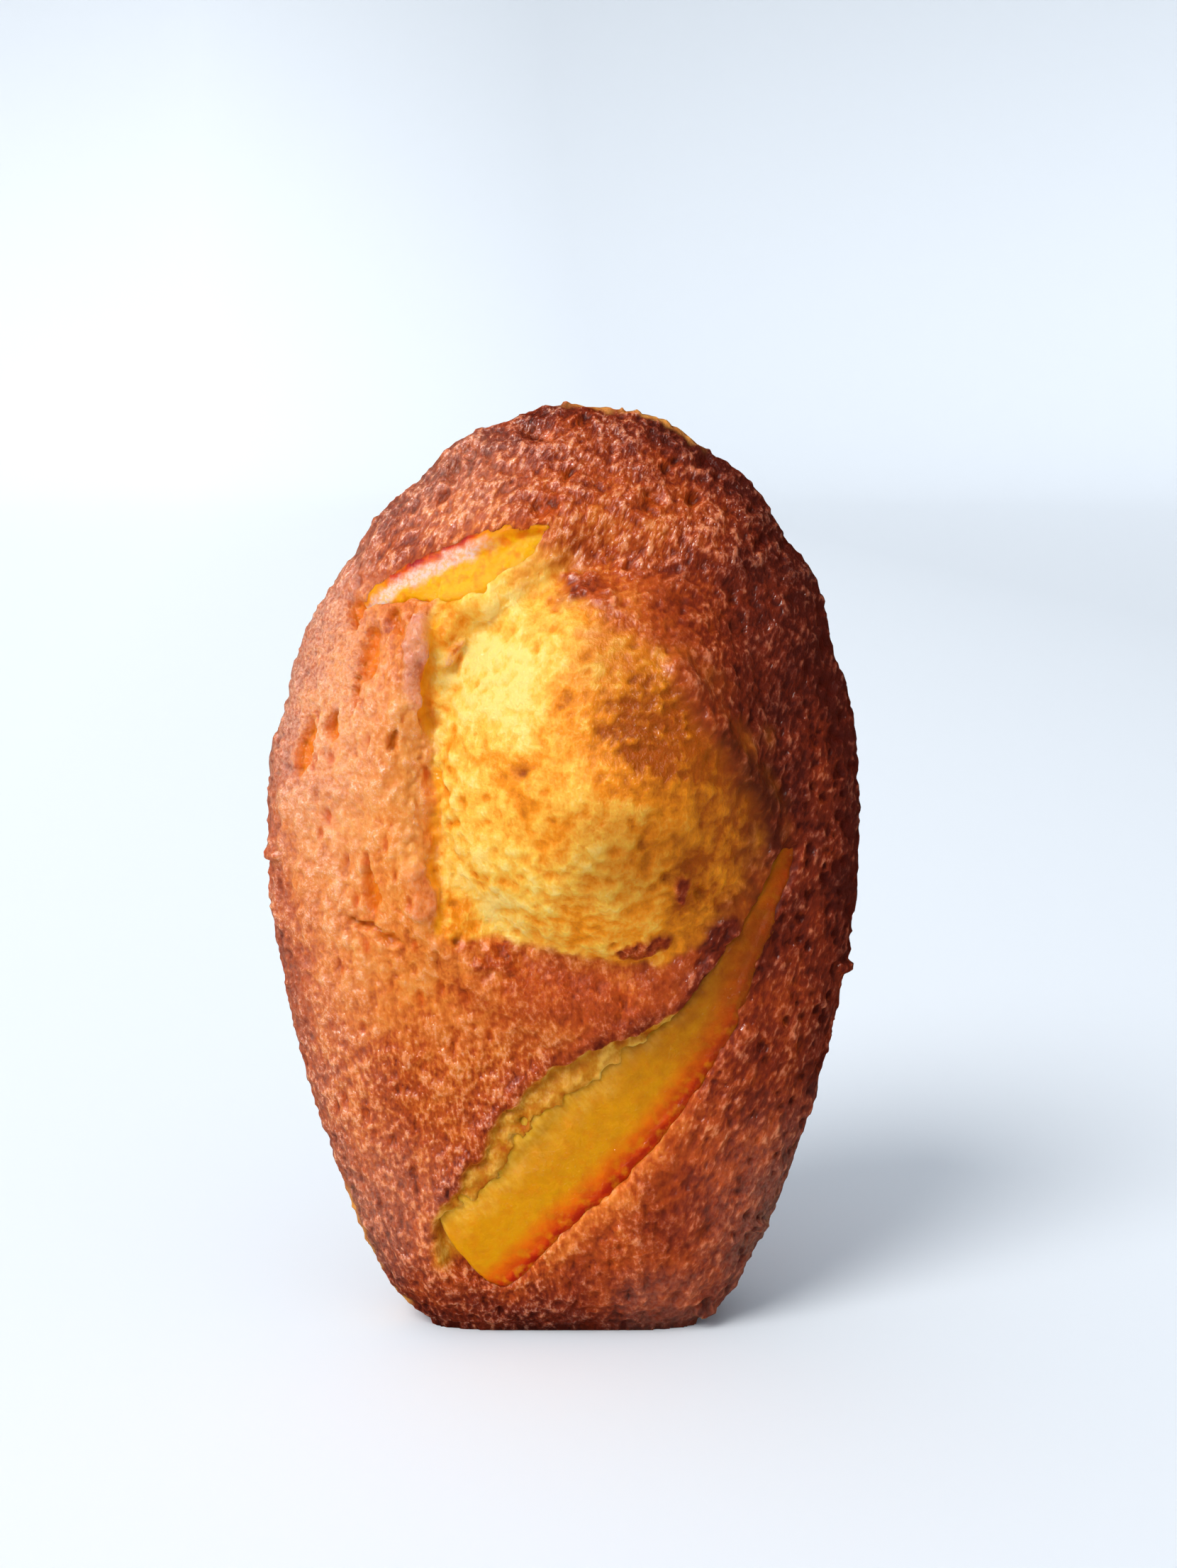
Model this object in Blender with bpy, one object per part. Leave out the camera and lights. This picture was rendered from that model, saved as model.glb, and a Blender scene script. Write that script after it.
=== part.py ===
"""A madeleine with two candied orange peels, standing on its squared narrow end.

Metres, +Z up, and the hump faces -Y. The cake is shaped in its own plane, the rim plane: x runs across,
"up" runs along its length from the narrow end, and "out" is how far a point stands in front of the rim.
An empty then leans that plane back, so that the cake's weight is over its foot. The origin is on the
table, under the middle of the cake.
"""

import math

import bmesh
import bpy
from mathutils import Matrix, Vector, noise

# The outline of the rim
LENGTH = 0.078
HALF_WIDTH = 0.0249
WIDEST_UP = 0.0407  # height of the widest place above the narrow end
LOWER_REACH = 0.0550  # where the lower sides would meet below the foot, from the widest place
LOWER_POWER = 1.56  # 2 is an ellipse, 1 is straight sides
FOOT_OVERRUN = 0.0006  # the shape runs this far past the foot before it is cut flat
CORNER_POWER = 17.0  # higher is a sharper corner where a side meets the foot
SWAY = 0.0015  # the top leans this far to +X of the foot

# The front
DOME_RISE = 0.0048
DOME_SHOULDER = 0.0036  # how quickly the dome rises from the rim
SWELL_RISE = 0.0044  # the crust climbs this much more towards the hump
SWELL_SPREAD = 1.45  # as a share of the way to the hump's outline
SWELL_FROM_RIM = 0.0120  # the swell has its full height this far in from the rim
HUMP_X = 0.0032
HUMP_UP = 0.0490
HUMP_HALF_WIDTH = 0.0136
HUMP_HALF_HEIGHT = 0.0160
HUMP_RISE = 0.0056
HUMP_SOFTNESS = 1.25  # 1 is a parabola, more gives it a soft foot
CRACK_AT = 1.04  # as a share of the way to the hump's outline
CRACK_SPREAD = 0.12
CRACK_DEPTH = 0.0014
CRACK_LEAST = 0.25  # how much of its depth the crack keeps on the +X side
LIP_AT = 1.30
LIP_SPREAD = 0.16
LIP_RISE = 0.0011  # the torn crust that stands round the crack on the -X side
UNEVEN_RISE = 0.0006
UNEVEN_SIZE = 0.0110
RELIEF_FROM_RIM = (0.0010, 0.0060)  # the front's relief fades out between these distances from the rim
TORN_FADE = (-0.0050, 0.0154)  # the torn side of the hump ends between these places across

# The shell side
SHELL_DEPTH = 0.0150
SHELL_DEEPEST_UP = 0.0400
SHELL_ARCH = (2.3, 0.72)  # the powers of the arch across the shell, from the widest place up
HINGE_DEPTH = 0.0112  # the shell's depth at its narrow end
HINGE_ARCH = (3.5, 0.50)  # a boxier arch at the narrow end
FOOT_WALL = (150.0, 0.25)  # the powers of the steep wall behind the foot
RIB_PITCH = math.radians(4.1)
RIB_HEIGHT = 0.0013
RIBS_FADE = (0.0040, 0.0260)  # the ribs rise between these heights
RIBS_FROM_RIM = 0.1  # and over this share of the way in from the rim
RIB_HUB_DROP = 0.0340  # the ribs fan out from a point this far below the foot
RIB_MEAN = 0.55  # the mean of a rib's profile, so that ribs add no depth
GROOVE_SOFTNESS = 0.22  # 0 is a sharp groove between ribs
NOTCH_X = 0.0021  # one groove between ribs passes here at the top
LOBE_HEIGHT = 0.0005  # how far the ribs scallop the rim
LOBES_FADE = (-0.3, 0.5)  # and between which rises round the rim, from -1 at the foot to 1 at the top

# The candied peels: arcs in the rim plane, with the zest along the outer edge. Each widens over the first
# share of its length, and narrows after the second
PEEL_THICKNESS = 0.0026
PEEL_GAP = 0.0003
PEEL_CORNERS = 12
PEEL_SQUARENESS = 0.55  # 1 is a round section, 0 a square one
PEEL_TIP = 0.45  # how wide a peel's end face is, of its width there
ARC_SHARE = 0.4  # the arc runs this share of a peel's width in from the zest edge
SLOPE_STEP = 0.0015  # the front's slope under a peel is measured across this
SLOT_RISE = 0.004  # a slot's cutter stands this far out of the cake
LONG_PEEL = {
    "centre": (-0.0494, 0.0629),
    "radius": 0.0729,
    "start": math.radians(-53.6),
    "end": math.radians(-15.5),
    "start_width": 0.0076,
    "widens": 0.1,
    "width": 0.0078,
    "narrows": 0.45,
    "end_width": 0.0028,
    "sunk": 0.0002,
    "stations": 28,
}
SHORT_PEEL = {
    "centre": (0.0226, -0.0004),
    "radius": 0.0729,
    "start": math.radians(122.6),
    "end": math.radians(109.8),
    "start_width": 0.0022,
    "widens": 0.5,
    "width": 0.0042,
    "narrows": 0.6,
    "end_width": 0.0032,
    "sunk": 0.0001,
    "stations": 14,
}

# Posing and mesh detail
LEAN = math.radians(3.0)
SHARPEST_SMOOTH = math.radians(50)  # edges that turn more than this are shaded sharp
SEGMENTS = 180
RINGS = 56
HUMP_RING = 0.5  # the hump's outline lies this far along the front's rings
CAKE_FACES_KEPT = 0.185


def smooth(value, low, high):
    """0 below low, 1 above high, with an even curve between."""
    share = min(1.0, max(0.0, (value - low) / (high - low)))
    return share * share * (3 - 2 * share)


def rib_lobe(x, up):
    """0 in the grooves between ribs, 1 along their crests."""
    fan = math.atan2(x - NOTCH_X, up + RIB_HUB_DROP) / RIB_PITCH
    soft = math.hypot(math.sin(math.pi * fan), GROOVE_SOFTNESS)
    return (soft - GROOVE_SOFTNESS) / (math.hypot(1.0, GROOVE_SOFTNESS) - GROOVE_SOFTNESS)


def side_reach(up):
    """Half the width of the outline at a height, with the sides run on past the foot."""
    reach, power = (LENGTH - WIDEST_UP, 2.0) if up >= WIDEST_UP else (LOWER_REACH, LOWER_POWER)
    return HALF_WIDTH * (1 - min(1.0, abs(up - WIDEST_UP) / reach) ** power) ** (1 / power)


def rim_radius(turn):
    """From the middle of the widest place to the rim, at an angle from straight up."""
    side, rise = math.sin(turn), math.cos(turn)
    reach, power = (LENGTH - WIDEST_UP, 2.0) if rise >= 0 else (LOWER_REACH, LOWER_POWER)
    radius = (abs(side / HALF_WIDTH) ** power + abs(rise / reach) ** power) ** (-1 / power)
    if rise < 0:
        foot = (WIDEST_UP + FOOT_OVERRUN) / -rise
        radius = (radius**-CORNER_POWER + foot**-CORNER_POWER) ** (-1 / CORNER_POWER)
    lobe = rib_lobe(radius * side, WIDEST_UP + radius * rise) - RIB_MEAN
    return radius + LOBE_HEIGHT * lobe * smooth(rise, *LOBES_FADE)


def rim_share(x, up):
    """How far out a point lies: 0 in the middle, 1 on the rim. Also the distance left to the rim."""
    turn = math.atan2(x, up - WIDEST_UP)
    radius = rim_radius(turn)
    away = math.hypot(x, up - WIDEST_UP)
    return away / radius, radius - away


def hump_share(x, up):
    """1 on the outline of the hump, 0 at its middle."""
    return math.hypot((x - HUMP_X) / HUMP_HALF_WIDTH, (up - HUMP_UP) / HUMP_HALF_HEIGHT)


def band(value, middle, half_width):
    """A soft bump of 1 at the middle."""
    return math.exp(-(((value - middle) / half_width) ** 2))


def front_base(x, up):
    """The front without its tears: a dome that swells up towards the hump."""
    left = rim_share(x, up)[1]
    dome = DOME_RISE * (1 - math.exp(-max(0.0, left) / DOME_SHOULDER))
    swell = SWELL_RISE * band(hump_share(x, up), 0.0, SWELL_SPREAD)
    return dome + swell * smooth(left, 0.0, SWELL_FROM_RIM)


def front_out(x, up):
    """How far the front stands out of the rim plane, with the hump and the torn crust round it."""
    share = hump_share(x, up)
    hump = HUMP_RISE * max(0.0, 1 - share**2) ** HUMP_SOFTNESS
    torn = 1 - smooth(x, *TORN_FADE)
    lip = LIP_RISE * band(share, LIP_AT, LIP_SPREAD) * torn
    crack = CRACK_DEPTH * band(share, CRACK_AT, CRACK_SPREAD) * (CRACK_LEAST + (1 - CRACK_LEAST) * torn)
    uneven = UNEVEN_RISE * noise.noise(Vector((x, up, 0.0)) / UNEVEN_SIZE)
    relief = smooth(rim_share(x, up)[1], *RELIEF_FROM_RIM)
    return front_base(x, up) + (hump + lip - crack + uneven) * relief


def arch(aside, powers):
    """1 along the shell's spine, 0 at its edge."""
    return (1 - min(1.0, aside) ** powers[0]) ** powers[1]


def back_depth(share, x, up):
    """How deep the shell is behind the rim plane: a ribbed vault that ends in a steep wall at the foot."""
    spine = HINGE_DEPTH + (SHELL_DEPTH - HINGE_DEPTH) * smooth(up, 0.0, SHELL_DEEPEST_UP)
    boxy = 1 - smooth(up, 0.0, WIDEST_UP)
    powers = [shell + boxy * (hinge - shell) for shell, hinge in zip(SHELL_ARCH, HINGE_ARCH)]
    aside = share if up >= WIDEST_UP else abs(x) / side_reach(up)
    ribs = RIB_HEIGHT * (rib_lobe(x, up) - RIB_MEAN) * smooth(up, *RIBS_FADE)
    ribs *= smooth(1 - share, 0.0, RIBS_FROM_RIM)
    return (spine * arch(aside, powers) + ribs) * arch(share, FOOT_WALL)


def placed(x, up, out):
    """A point of the cake before it leans."""
    return Vector((x + SWAY * smooth(up, WIDEST_UP, LENGTH), -out, up))


def finish(name, colour, roughness):
    """A plain glossy food surface."""
    material = bpy.data.materials.new(name)
    material.use_nodes = True
    shader = material.node_tree.nodes["Principled BSDF"]
    shader.inputs["Base Color"].default_value = (*colour, 1.0)
    shader.inputs["Roughness"].default_value = roughness
    shader.inputs["Metallic"].default_value = 0.0
    return material


def add_object(name, mesh, material, parent):
    """An object for a finished bmesh, smooth but for its real edges."""
    data = bpy.data.meshes.new(name)
    mesh.to_mesh(data)
    mesh.free()
    data.shade_smooth()
    data.set_sharp_from_angle(angle=SHARPEST_SMOOTH)
    thing = bpy.data.objects.new(name, data)
    bpy.context.scene.collection.objects.link(thing)
    thing.parent = parent
    if material:
        data.materials.append(material)
    return thing


def front_place(turn, share):
    """Where a ring of the front's mesh crosses a spoke: inner rings follow the hump, outer ones the rim."""
    inner = min(1.0, share / HUMP_RING)
    outer = max(0.0, share - HUMP_RING) / (1 - HUMP_RING)
    around = Vector((HUMP_HALF_WIDTH * math.sin(turn), HUMP_HALF_HEIGHT * math.cos(turn)))
    hump = Vector((HUMP_X, HUMP_UP)) + inner * around
    radius = rim_radius(turn)
    rim = Vector((radius * math.sin(turn), WIDEST_UP + radius * math.cos(turn)))
    return hump.lerp(rim, outer)


def cake_mesh():
    """A sphere with its poles at the hump and the back, and every ring drawn out to the cake's surface."""
    mesh = bmesh.new()
    bmesh.ops.create_uvsphere(mesh, u_segments=SEGMENTS, v_segments=2 * RINGS, radius=1.0)
    for vertex in mesh.verts:
        toward_front = 1 - 2 * math.acos(max(-1.0, min(1.0, vertex.co.z))) / math.pi
        turn = math.atan2(vertex.co.x, vertex.co.y)
        share = 1 - toward_front**2
        radius = share * rim_radius(turn)
        x, up = radius * math.sin(turn), WIDEST_UP + radius * math.cos(turn)
        if abs(toward_front) < 1e-6:
            out = 0.0
        elif toward_front > 0:
            x, up = front_place(turn, share)
            out = front_out(x, up)
        else:
            out = -back_depth(share, x, up)
        vertex.co = placed(x, up, out)
    bmesh.ops.recalc_face_normals(mesh, faces=mesh.faces)
    return mesh


def peel_frame(peel, share, grow):
    """A point of the front on the arc, the direction across the peel, and the outward normal."""
    over = math.copysign(grow / peel["radius"], peel["end"] - peel["start"])
    start, end = peel["start"] - over, peel["end"] + over
    angle = start + share * (end - start)
    radial = Vector((math.cos(angle), math.sin(angle)))
    x, up = Vector(peel["centre"]) + peel["radius"] * radial
    middle = Vector((x, up)) - radial * peel["width"] * ARC_SHARE
    left, right = middle.x - SLOPE_STEP, middle.x + SLOPE_STEP
    low, high = middle.y - SLOPE_STEP, middle.y + SLOPE_STEP
    slope_x = (front_base(right, middle.y) - front_base(left, middle.y)) / (right - left)
    slope_up = (front_base(middle.x, high) - front_base(middle.x, low)) / (high - low)
    normal = Vector((-slope_x, -1.0, -slope_up)).normalized()
    base = placed(middle.x, middle.y, front_base(middle.x, middle.y))
    across = Vector((-radial.x, 0.0, -radial.y))
    across = (across - across.dot(normal) * normal).normalized()
    return base, across, normal


def peel_width(peel, share):
    """The peel's width at a share of its length: it widens from its start and narrows to its end."""
    first = smooth(share, 0.0, peel["widens"])
    last = smooth(share, peel["narrows"], 1.0)
    width = peel["start_width"] + (peel["width"] - peel["start_width"]) * first
    return width + (peel["end_width"] - width) * last


def peel_section(half_width, grow, proud):
    """Corners round a peel, as (across, height under its face). A cutter's open side rises straight up."""
    corners = []
    deep = PEEL_THICKNESS / 2 + grow
    for corner in range(PEEL_CORNERS):
        angle = 2 * math.pi * (corner + 0.5) / PEEL_CORNERS
        across = math.copysign(abs(math.cos(angle)) ** PEEL_SQUARENESS, math.cos(angle))
        height = math.copysign(abs(math.sin(angle)) ** PEEL_SQUARENESS, math.sin(angle))
        if proud and height > 0:
            across, height = math.copysign(1.0, across), height + proud / deep
        corners.append(((half_width + grow) * across, deep * height - PEEL_THICKNESS / 2))
    return corners


def peel_mesh(peel, grow=0.0, proud=0.0):
    """A flat strip with round edges along its arc. grow fattens it all round, proud raises its face."""
    mesh = bmesh.new()
    rings = []
    length = peel["radius"] * abs(peel["end"] - peel["start"])
    for station in range(peel["stations"] + 1):
        share = 0.5 - 0.5 * math.cos(math.pi * station / peel["stations"])
        base, across, normal = peel_frame(peel, share, grow)
        width = peel_width(peel, share)
        from_end = min(1.0, min(share, 1 - share) * length / (0.5 * width))
        round_end = PEEL_TIP + (1 - PEEL_TIP) * (1 - (1 - from_end) ** 2) ** 0.5
        centre = base + across * (0.5 * width - ARC_SHARE * peel["width"]) - normal * peel["sunk"]
        section = peel_section(0.5 * width * round_end, grow, proud)
        rings.append([mesh.verts.new(centre + across * a + normal * h) for a, h in section])
    for ring, after in zip(rings, rings[1:]):
        for corner in range(PEEL_CORNERS):
            other = (corner + 1) % PEEL_CORNERS
            mesh.faces.new((ring[corner], ring[other], after[other], after[corner]))
    mesh.faces.new(rings[0])
    mesh.faces.new(rings[-1])
    bmesh.ops.recalc_face_normals(mesh, faces=mesh.faces)
    return mesh


def cut(thing, cutter):
    """Takes the cutter's shape out of a thing, and hides the cutter."""
    cutter.hide_render = True
    cutter.display_type = "WIRE"
    boolean = thing.modifiers.new("cut_" + cutter.name, "BOOLEAN")
    boolean.operation = "DIFFERENCE"
    boolean.solver = "EXACT"
    boolean.object = cutter


def table_cutter():
    """A block whose top is the table, which cuts the foot flat."""
    size = 2 * LENGTH
    mesh = bmesh.new()
    bmesh.ops.create_cube(mesh, size=size, matrix=Matrix.Translation((0, 0, -size / 2)))
    return add_object("table_cutter", mesh, None, None)


def centre_on_origin(pose, cake):
    """Slides everything so that the middle of the leaning cake is over the origin."""
    lean = pose.rotation_euler.to_matrix()
    places = [lean @ vertex.co for vertex in cake.data.vertices]
    for axis in (0, 1):
        low = min(place[axis] for place in places)
        high = max(place[axis] for place in places)
        pose.location[axis] = -0.5 * (low + high)


def build():
    """The cake, its two peels, and the cutters that make room for them."""
    for old in list(bpy.data.objects):
        bpy.data.objects.remove(old)
    pose = bpy.data.objects.new("madeleine_pose", None)
    bpy.context.scene.collection.objects.link(pose)
    pose.rotation_euler.x = -LEAN

    crust = finish("golden_crust", (0.62, 0.27, 0.07), 0.5)
    candied = finish("candied_peel", (0.80, 0.36, 0.01), 0.25)
    cake = add_object("cake", cake_mesh(), crust, pose)
    centre_on_origin(pose, cake)
    thin = cake.modifiers.new("fewer_faces", "DECIMATE")
    thin.ratio = CAKE_FACES_KEPT
    peels = {"peel_long": LONG_PEEL, "peel_short": SHORT_PEEL}
    for name, peel in peels.items():
        add_object(name, peel_mesh(peel), candied, pose)
        slot = peel_mesh(peel, grow=PEEL_GAP, proud=SLOT_RISE)
        cut(cake, add_object(name + "_slot", slot, None, pose))
    cut(cake, table_cutter())


build()
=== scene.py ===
import math
from types import SimpleNamespace

import bpy
import numpy as np
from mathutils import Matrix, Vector, noise
from mathutils.bvhtree import BVHTree
from mathutils.kdtree import KDTree


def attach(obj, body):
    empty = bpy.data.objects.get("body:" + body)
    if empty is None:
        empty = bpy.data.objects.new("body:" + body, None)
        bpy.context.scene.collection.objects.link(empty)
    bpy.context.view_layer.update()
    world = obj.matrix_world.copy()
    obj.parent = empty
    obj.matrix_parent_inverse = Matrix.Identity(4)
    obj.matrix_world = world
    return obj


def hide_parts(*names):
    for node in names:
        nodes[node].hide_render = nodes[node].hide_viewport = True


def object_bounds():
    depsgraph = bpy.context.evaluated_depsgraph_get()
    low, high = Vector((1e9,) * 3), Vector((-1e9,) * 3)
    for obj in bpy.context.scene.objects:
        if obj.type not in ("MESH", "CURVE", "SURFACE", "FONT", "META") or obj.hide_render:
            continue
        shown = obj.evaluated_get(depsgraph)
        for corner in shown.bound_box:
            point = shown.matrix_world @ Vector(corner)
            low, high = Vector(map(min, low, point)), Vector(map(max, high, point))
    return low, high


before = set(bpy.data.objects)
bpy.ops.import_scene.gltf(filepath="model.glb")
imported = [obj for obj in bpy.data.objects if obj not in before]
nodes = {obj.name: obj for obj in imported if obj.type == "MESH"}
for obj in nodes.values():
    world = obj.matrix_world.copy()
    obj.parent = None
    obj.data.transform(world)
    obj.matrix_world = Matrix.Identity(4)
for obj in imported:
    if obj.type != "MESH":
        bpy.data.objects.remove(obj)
scene = bpy.context.scene
cadBounds = [list(corner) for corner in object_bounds()]
mm = 0.001

# the cake leans back a little; its own plane has x across, up along its length, out to the front
cakePose = {"lean": math.radians(3.0), "rimY": -2.88}
leanCos, leanSin = math.cos(cakePose["lean"]), math.sin(cakePose["lean"])


def pickOnly(*things):
    bpy.ops.object.select_all(action="DESELECT")
    for thing in things:
        thing.select_set(True)
    bpy.context.view_layer.objects.active = things[0]


def applyModifier(thing, kind, **values):
    pickOnly(thing)
    modifier = thing.modifiers.new(kind.lower(), kind)
    for name, value in values.items():
        setattr(modifier, name, value)
    bpy.ops.object.modifier_apply(modifier=modifier.name)


def setMode(mode):
    bpy.ops.object.mode_set(mode=mode)


def mergedCopy(node, name):
    thing = bpy.data.objects.new(name, nodes[node].data.copy())
    scene.collection.objects.link(thing)
    thing.data.materials.clear()
    pickOnly(thing)
    setMode("EDIT")
    bpy.ops.mesh.select_all(action="SELECT")
    bpy.ops.mesh.remove_doubles(threshold=0.01 * mm)
    setMode("OBJECT")
    return thing


def splitFaces(thing, chosen):
    # one more level of detail on the chosen faces
    pickOnly(thing)
    setMode("EDIT")
    bpy.ops.mesh.select_mode(type="FACE")
    bpy.ops.mesh.select_all(action="DESELECT")
    setMode("OBJECT")
    thing.data.polygons.foreach_set("select", chosen)
    setMode("EDIT")
    bpy.ops.mesh.subdivide(number_cuts=1, smoothness=0.0)
    setMode("OBJECT")


def readVectors(items, name):
    values = np.empty(len(items) * 3, np.float32)
    items.foreach_get(name, values)
    return values.reshape(-1, 3).astype(float)


def readSurface(mesh):
    return readVectors(mesh.vertices, "co"), readVectors(mesh.vertex_normals, "vector")


def writePoints(mesh, points):
    mesh.vertices.foreach_set("co", points.astype(np.float32).ravel())
    mesh.update()


def storeMasks(mesh, **masks):
    for name, values in masks.items():
        stored = mesh.attributes.new(name, "FLOAT", "POINT")
        stored.data.foreach_set("value", np.clip(values, 0.0, 1.0).astype(np.float32))


def smooth(values, low, high):
    share = np.clip((values - low) / (high - low), 0.0, 1.0)
    return share * share * (3 - 2 * share)


def planePlaces(points):
    # millimetres in the cake's own plane
    x, y, z = (points / mm).T
    depth = y - cakePose["rimY"]
    return x, depth * leanSin + z * leanCos, z * leanSin - depth * leanCos


def worldPlaces(x, up, out):
    # the way back from the cake's own plane
    depth = up * leanSin - out * leanCos
    return np.stack([x, depth + cakePose["rimY"], out * leanSin + up * leanCos], axis=1) * mm


def turned(across, along, degrees):
    angle = math.radians(degrees)
    return (
        across * math.cos(angle) - along * math.sin(angle),
        across * math.sin(angle) + along * math.cos(angle),
    )


def grainPlaces(points, size, seed, turn=0.0, stretch=(1.0, 1.0, 1.0)):
    # turned in the plane of the front, then squeezed along each direction
    places = points / (size * mm)
    x, z = turned(places[:, 0], places[:, 2], turn)
    return (np.stack([x, places[:, 1], z], axis=1) / stretch + seed).tolist()


def grain(points, size, seed, *lean):
    return np.array([noise.noise(place) for place in grainPlaces(points, size, seed, *lean)])


def crests(points, size, seed, *lean):
    # sharp ridges round smooth hollows, from -1 to 1
    return 1 - 4 * np.abs(grain(points, size, seed, *lean))


def pores(points, size, seed, share, reach, *lean):
    # 1 in the middle of a share of the cells, 0 outside their reach
    found = np.zeros(len(points))
    for index, place in enumerate(grainPlaces(points, size, seed, *lean)):
        distances, centres = noise.voronoi(place)
        centre = centres[0]
        # a fixed draw for each cell
        lot = math.sin(centre[0] * 12.9898 + centre[1] * 78.233 + centre[2] * 37.719) * 43758.5453 % 1.0
        if lot < share:
            found[index] = max(0.0, 1 - distances[0] / (reach * (0.6 + 0.8 * lot / share)))
    return smooth(found, 0.0, 0.75)


def fading(values, low, high):
    return 1 - smooth(values, low, high)


def band(values, rise, fall):
    # 1 between a rise and a fall, each given by where it starts and ends
    return smooth(values, *rise) * fading(values, *fall)


def strongest(*fields):
    return np.maximum.reduce(fields)


def layered(points, layers):
    # a sum of grains, each with its own strength
    return sum(strength * grain(points, *shape) for strength, *shape in layers)


def veined(points, look):
    return grain(points, *look["grain"]) + look["share"] * crests(points, *look["crests"])


def nearLine(x, up, line):
    # distance to a line through points, and the side of it: above 0 on the right going along it
    best = np.full(len(x), 1e9)
    side = np.zeros(len(x))
    for (ax, au), (bx, bu) in zip(line, line[1:]):
        dx, du = bx - ax, bu - au
        share = np.clip(((x - ax) * dx + (up - au) * du) / (dx * dx + du * du), 0.0, 1.0)
        away = np.hypot(x - ax - share * dx, up - au - share * du)
        closer = away < best
        best = np.where(closer, away, best)
        side = np.where(closer, np.sign((x - ax) * du - (up - au) * dx), side)
    return best, side


def stroke(x, up, mark):
    # 1 along a drawn line, fading to 0 over its soft edge
    away = nearLine(x, up, mark["line"])[0]
    return fading(away, mark["width"] * (1 - mark["edge"]), mark["width"] * (1 + mark["edge"]))


def inside(x, up, outline):
    # distance in from a closed outline, below 0 outside it
    closed = outline + outline[:1]
    crossed = np.zeros(len(x), bool)
    for (ax, au), (bx, bu) in zip(closed, closed[1:]):
        if au != bu:
            spans = (au > up) != (bu > up)
            crossed ^= spans & (x < (bx - ax) * (up - au) / (bu - au) + ax)
    away = nearLine(x, up, closed)[0]
    return np.where(crossed, away, -away)


def blob(x, up, middle, radii, turn=0.0):
    # 1 in the middle of an oval, 0 from its edge out
    across, along = turned(x - middle[0], up - middle[1], turn)
    return smooth(1 - np.hypot(across / radii[0], along / radii[1]), 0.0, 0.8)


def ovals(x, up, shapes):
    # the strongest of several ovals, each with its middle, radii and turn
    return strongest(*[blob(x, up, *shape) for shape in shapes])


def walled(x, up, shape):
    # 1 over a shape made of ovals, with a short soft wall
    return smooth(ovals(x, up, shape["ovals"]), *shape["wall"])


def patches(x, up, spots):
    # a sum of soft ovals, each with its strength, middle, radii and turn
    return sum(strength * blob(x, up, *shape) for strength, *shape in spots)


def linear(part):
    # the usual screen curve, undone
    return part / 12.92 if part < 0.04 else ((part + 0.055) / 1.055) ** 2.4


def tone(red, green, blue):
    # a colour as screens give it, each part up to 255, made linear
    return tuple(linear(part / 255) for part in (red, green, blue))


def newMaterial(name):
    material = bpy.data.materials.new(name)
    material.use_nodes = True
    tree = material.node_tree
    return material, tree, tree.nodes["Principled BSDF"]


def addNode(tree, kind, links=None, **values):
    node = tree.nodes.new(kind)
    for name, value in values.items():
        setattr(node, name, value)
    for socket, source in (links or {}).items():
        if isinstance(source, (int, float, tuple)):
            node.inputs[socket].default_value = source
        else:
            tree.links.new(source, node.inputs[socket])
    return node


def mask(tree, name):
    return addNode(tree, "ShaderNodeAttribute", attribute_name=name).outputs["Fac"]


def fineNoise(tree, place, size, detail=3.0, rough=0.55):
    links = {"Vector": place, "Scale": 1.0 / (size * mm), "Detail": detail, "Roughness": rough}
    return addNode(tree, "ShaderNodeTexNoise", links).outputs["Fac"]


def strandNoise(tree, place, turn, sizes, detail=2.0):
    # grain that is longer along one direction on the front
    scale = tuple(size * mm for size in sizes)
    links = {"Vector": place, "Rotation": (0.0, math.radians(turn), 0.0), "Scale": scale}
    turned = addNode(tree, "ShaderNodeMapping", links, vector_type="TEXTURE").outputs["Vector"]
    links = {"Vector": turned, "Scale": 1.0, "Detail": detail}
    return addNode(tree, "ShaderNodeTexNoise", links).outputs["Fac"]


def ramp(tree, factor, stops):
    node = addNode(tree, "ShaderNodeValToRGB", {"Fac": factor})
    marks = node.color_ramp.elements
    while len(marks) < len(stops):
        marks.new(0.5)
    for mark, (place, colour) in zip(marks, stops):
        mark.position = place
        mark.color = (*colour, 1.0) if isinstance(colour, tuple) else (colour, colour, colour, 1.0)
    return node.outputs["Color"]


def blendColour(tree, factor, under, over, mode="MIX"):
    under, over = ((*colour, 1.0) if isinstance(colour, tuple) else colour for colour in (under, over))
    links = {0: factor, 6: under, 7: over}
    return addNode(tree, "ShaderNodeMix", links, data_type="RGBA", blend_type=mode).outputs[2]


def calc(tree, operation, first, second=0.0, third=0.0, clamp=False):
    links = {0: first, 1: second}
    if operation == "MULTIPLY_ADD":
        links[2] = third
    return addNode(tree, "ShaderNodeMath", links, operation=operation, use_clamp=clamp).outputs[0]


def centred(tree, value):
    return calc(tree, "SUBTRACT", value, 0.5)


def times(tree, value, amount):
    return calc(tree, "MULTIPLY", value, amount)


def setSockets(shader, values):
    for socket, value in values.items():
        shader.inputs[socket].default_value = value


def addBumps(tree, shader, height, depths):
    # the same relief, with its own depth in the body and in the glaze over it
    for socket, depth in zip(("Normal", "Coat Normal"), depths):
        bump = addNode(tree, "ShaderNodeBump", {"Height": height, "Strength": 1.0, "Distance": depth})
        tree.links.new(bump.outputs["Normal"], shader.inputs[socket])


print("frame loaded")

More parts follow.
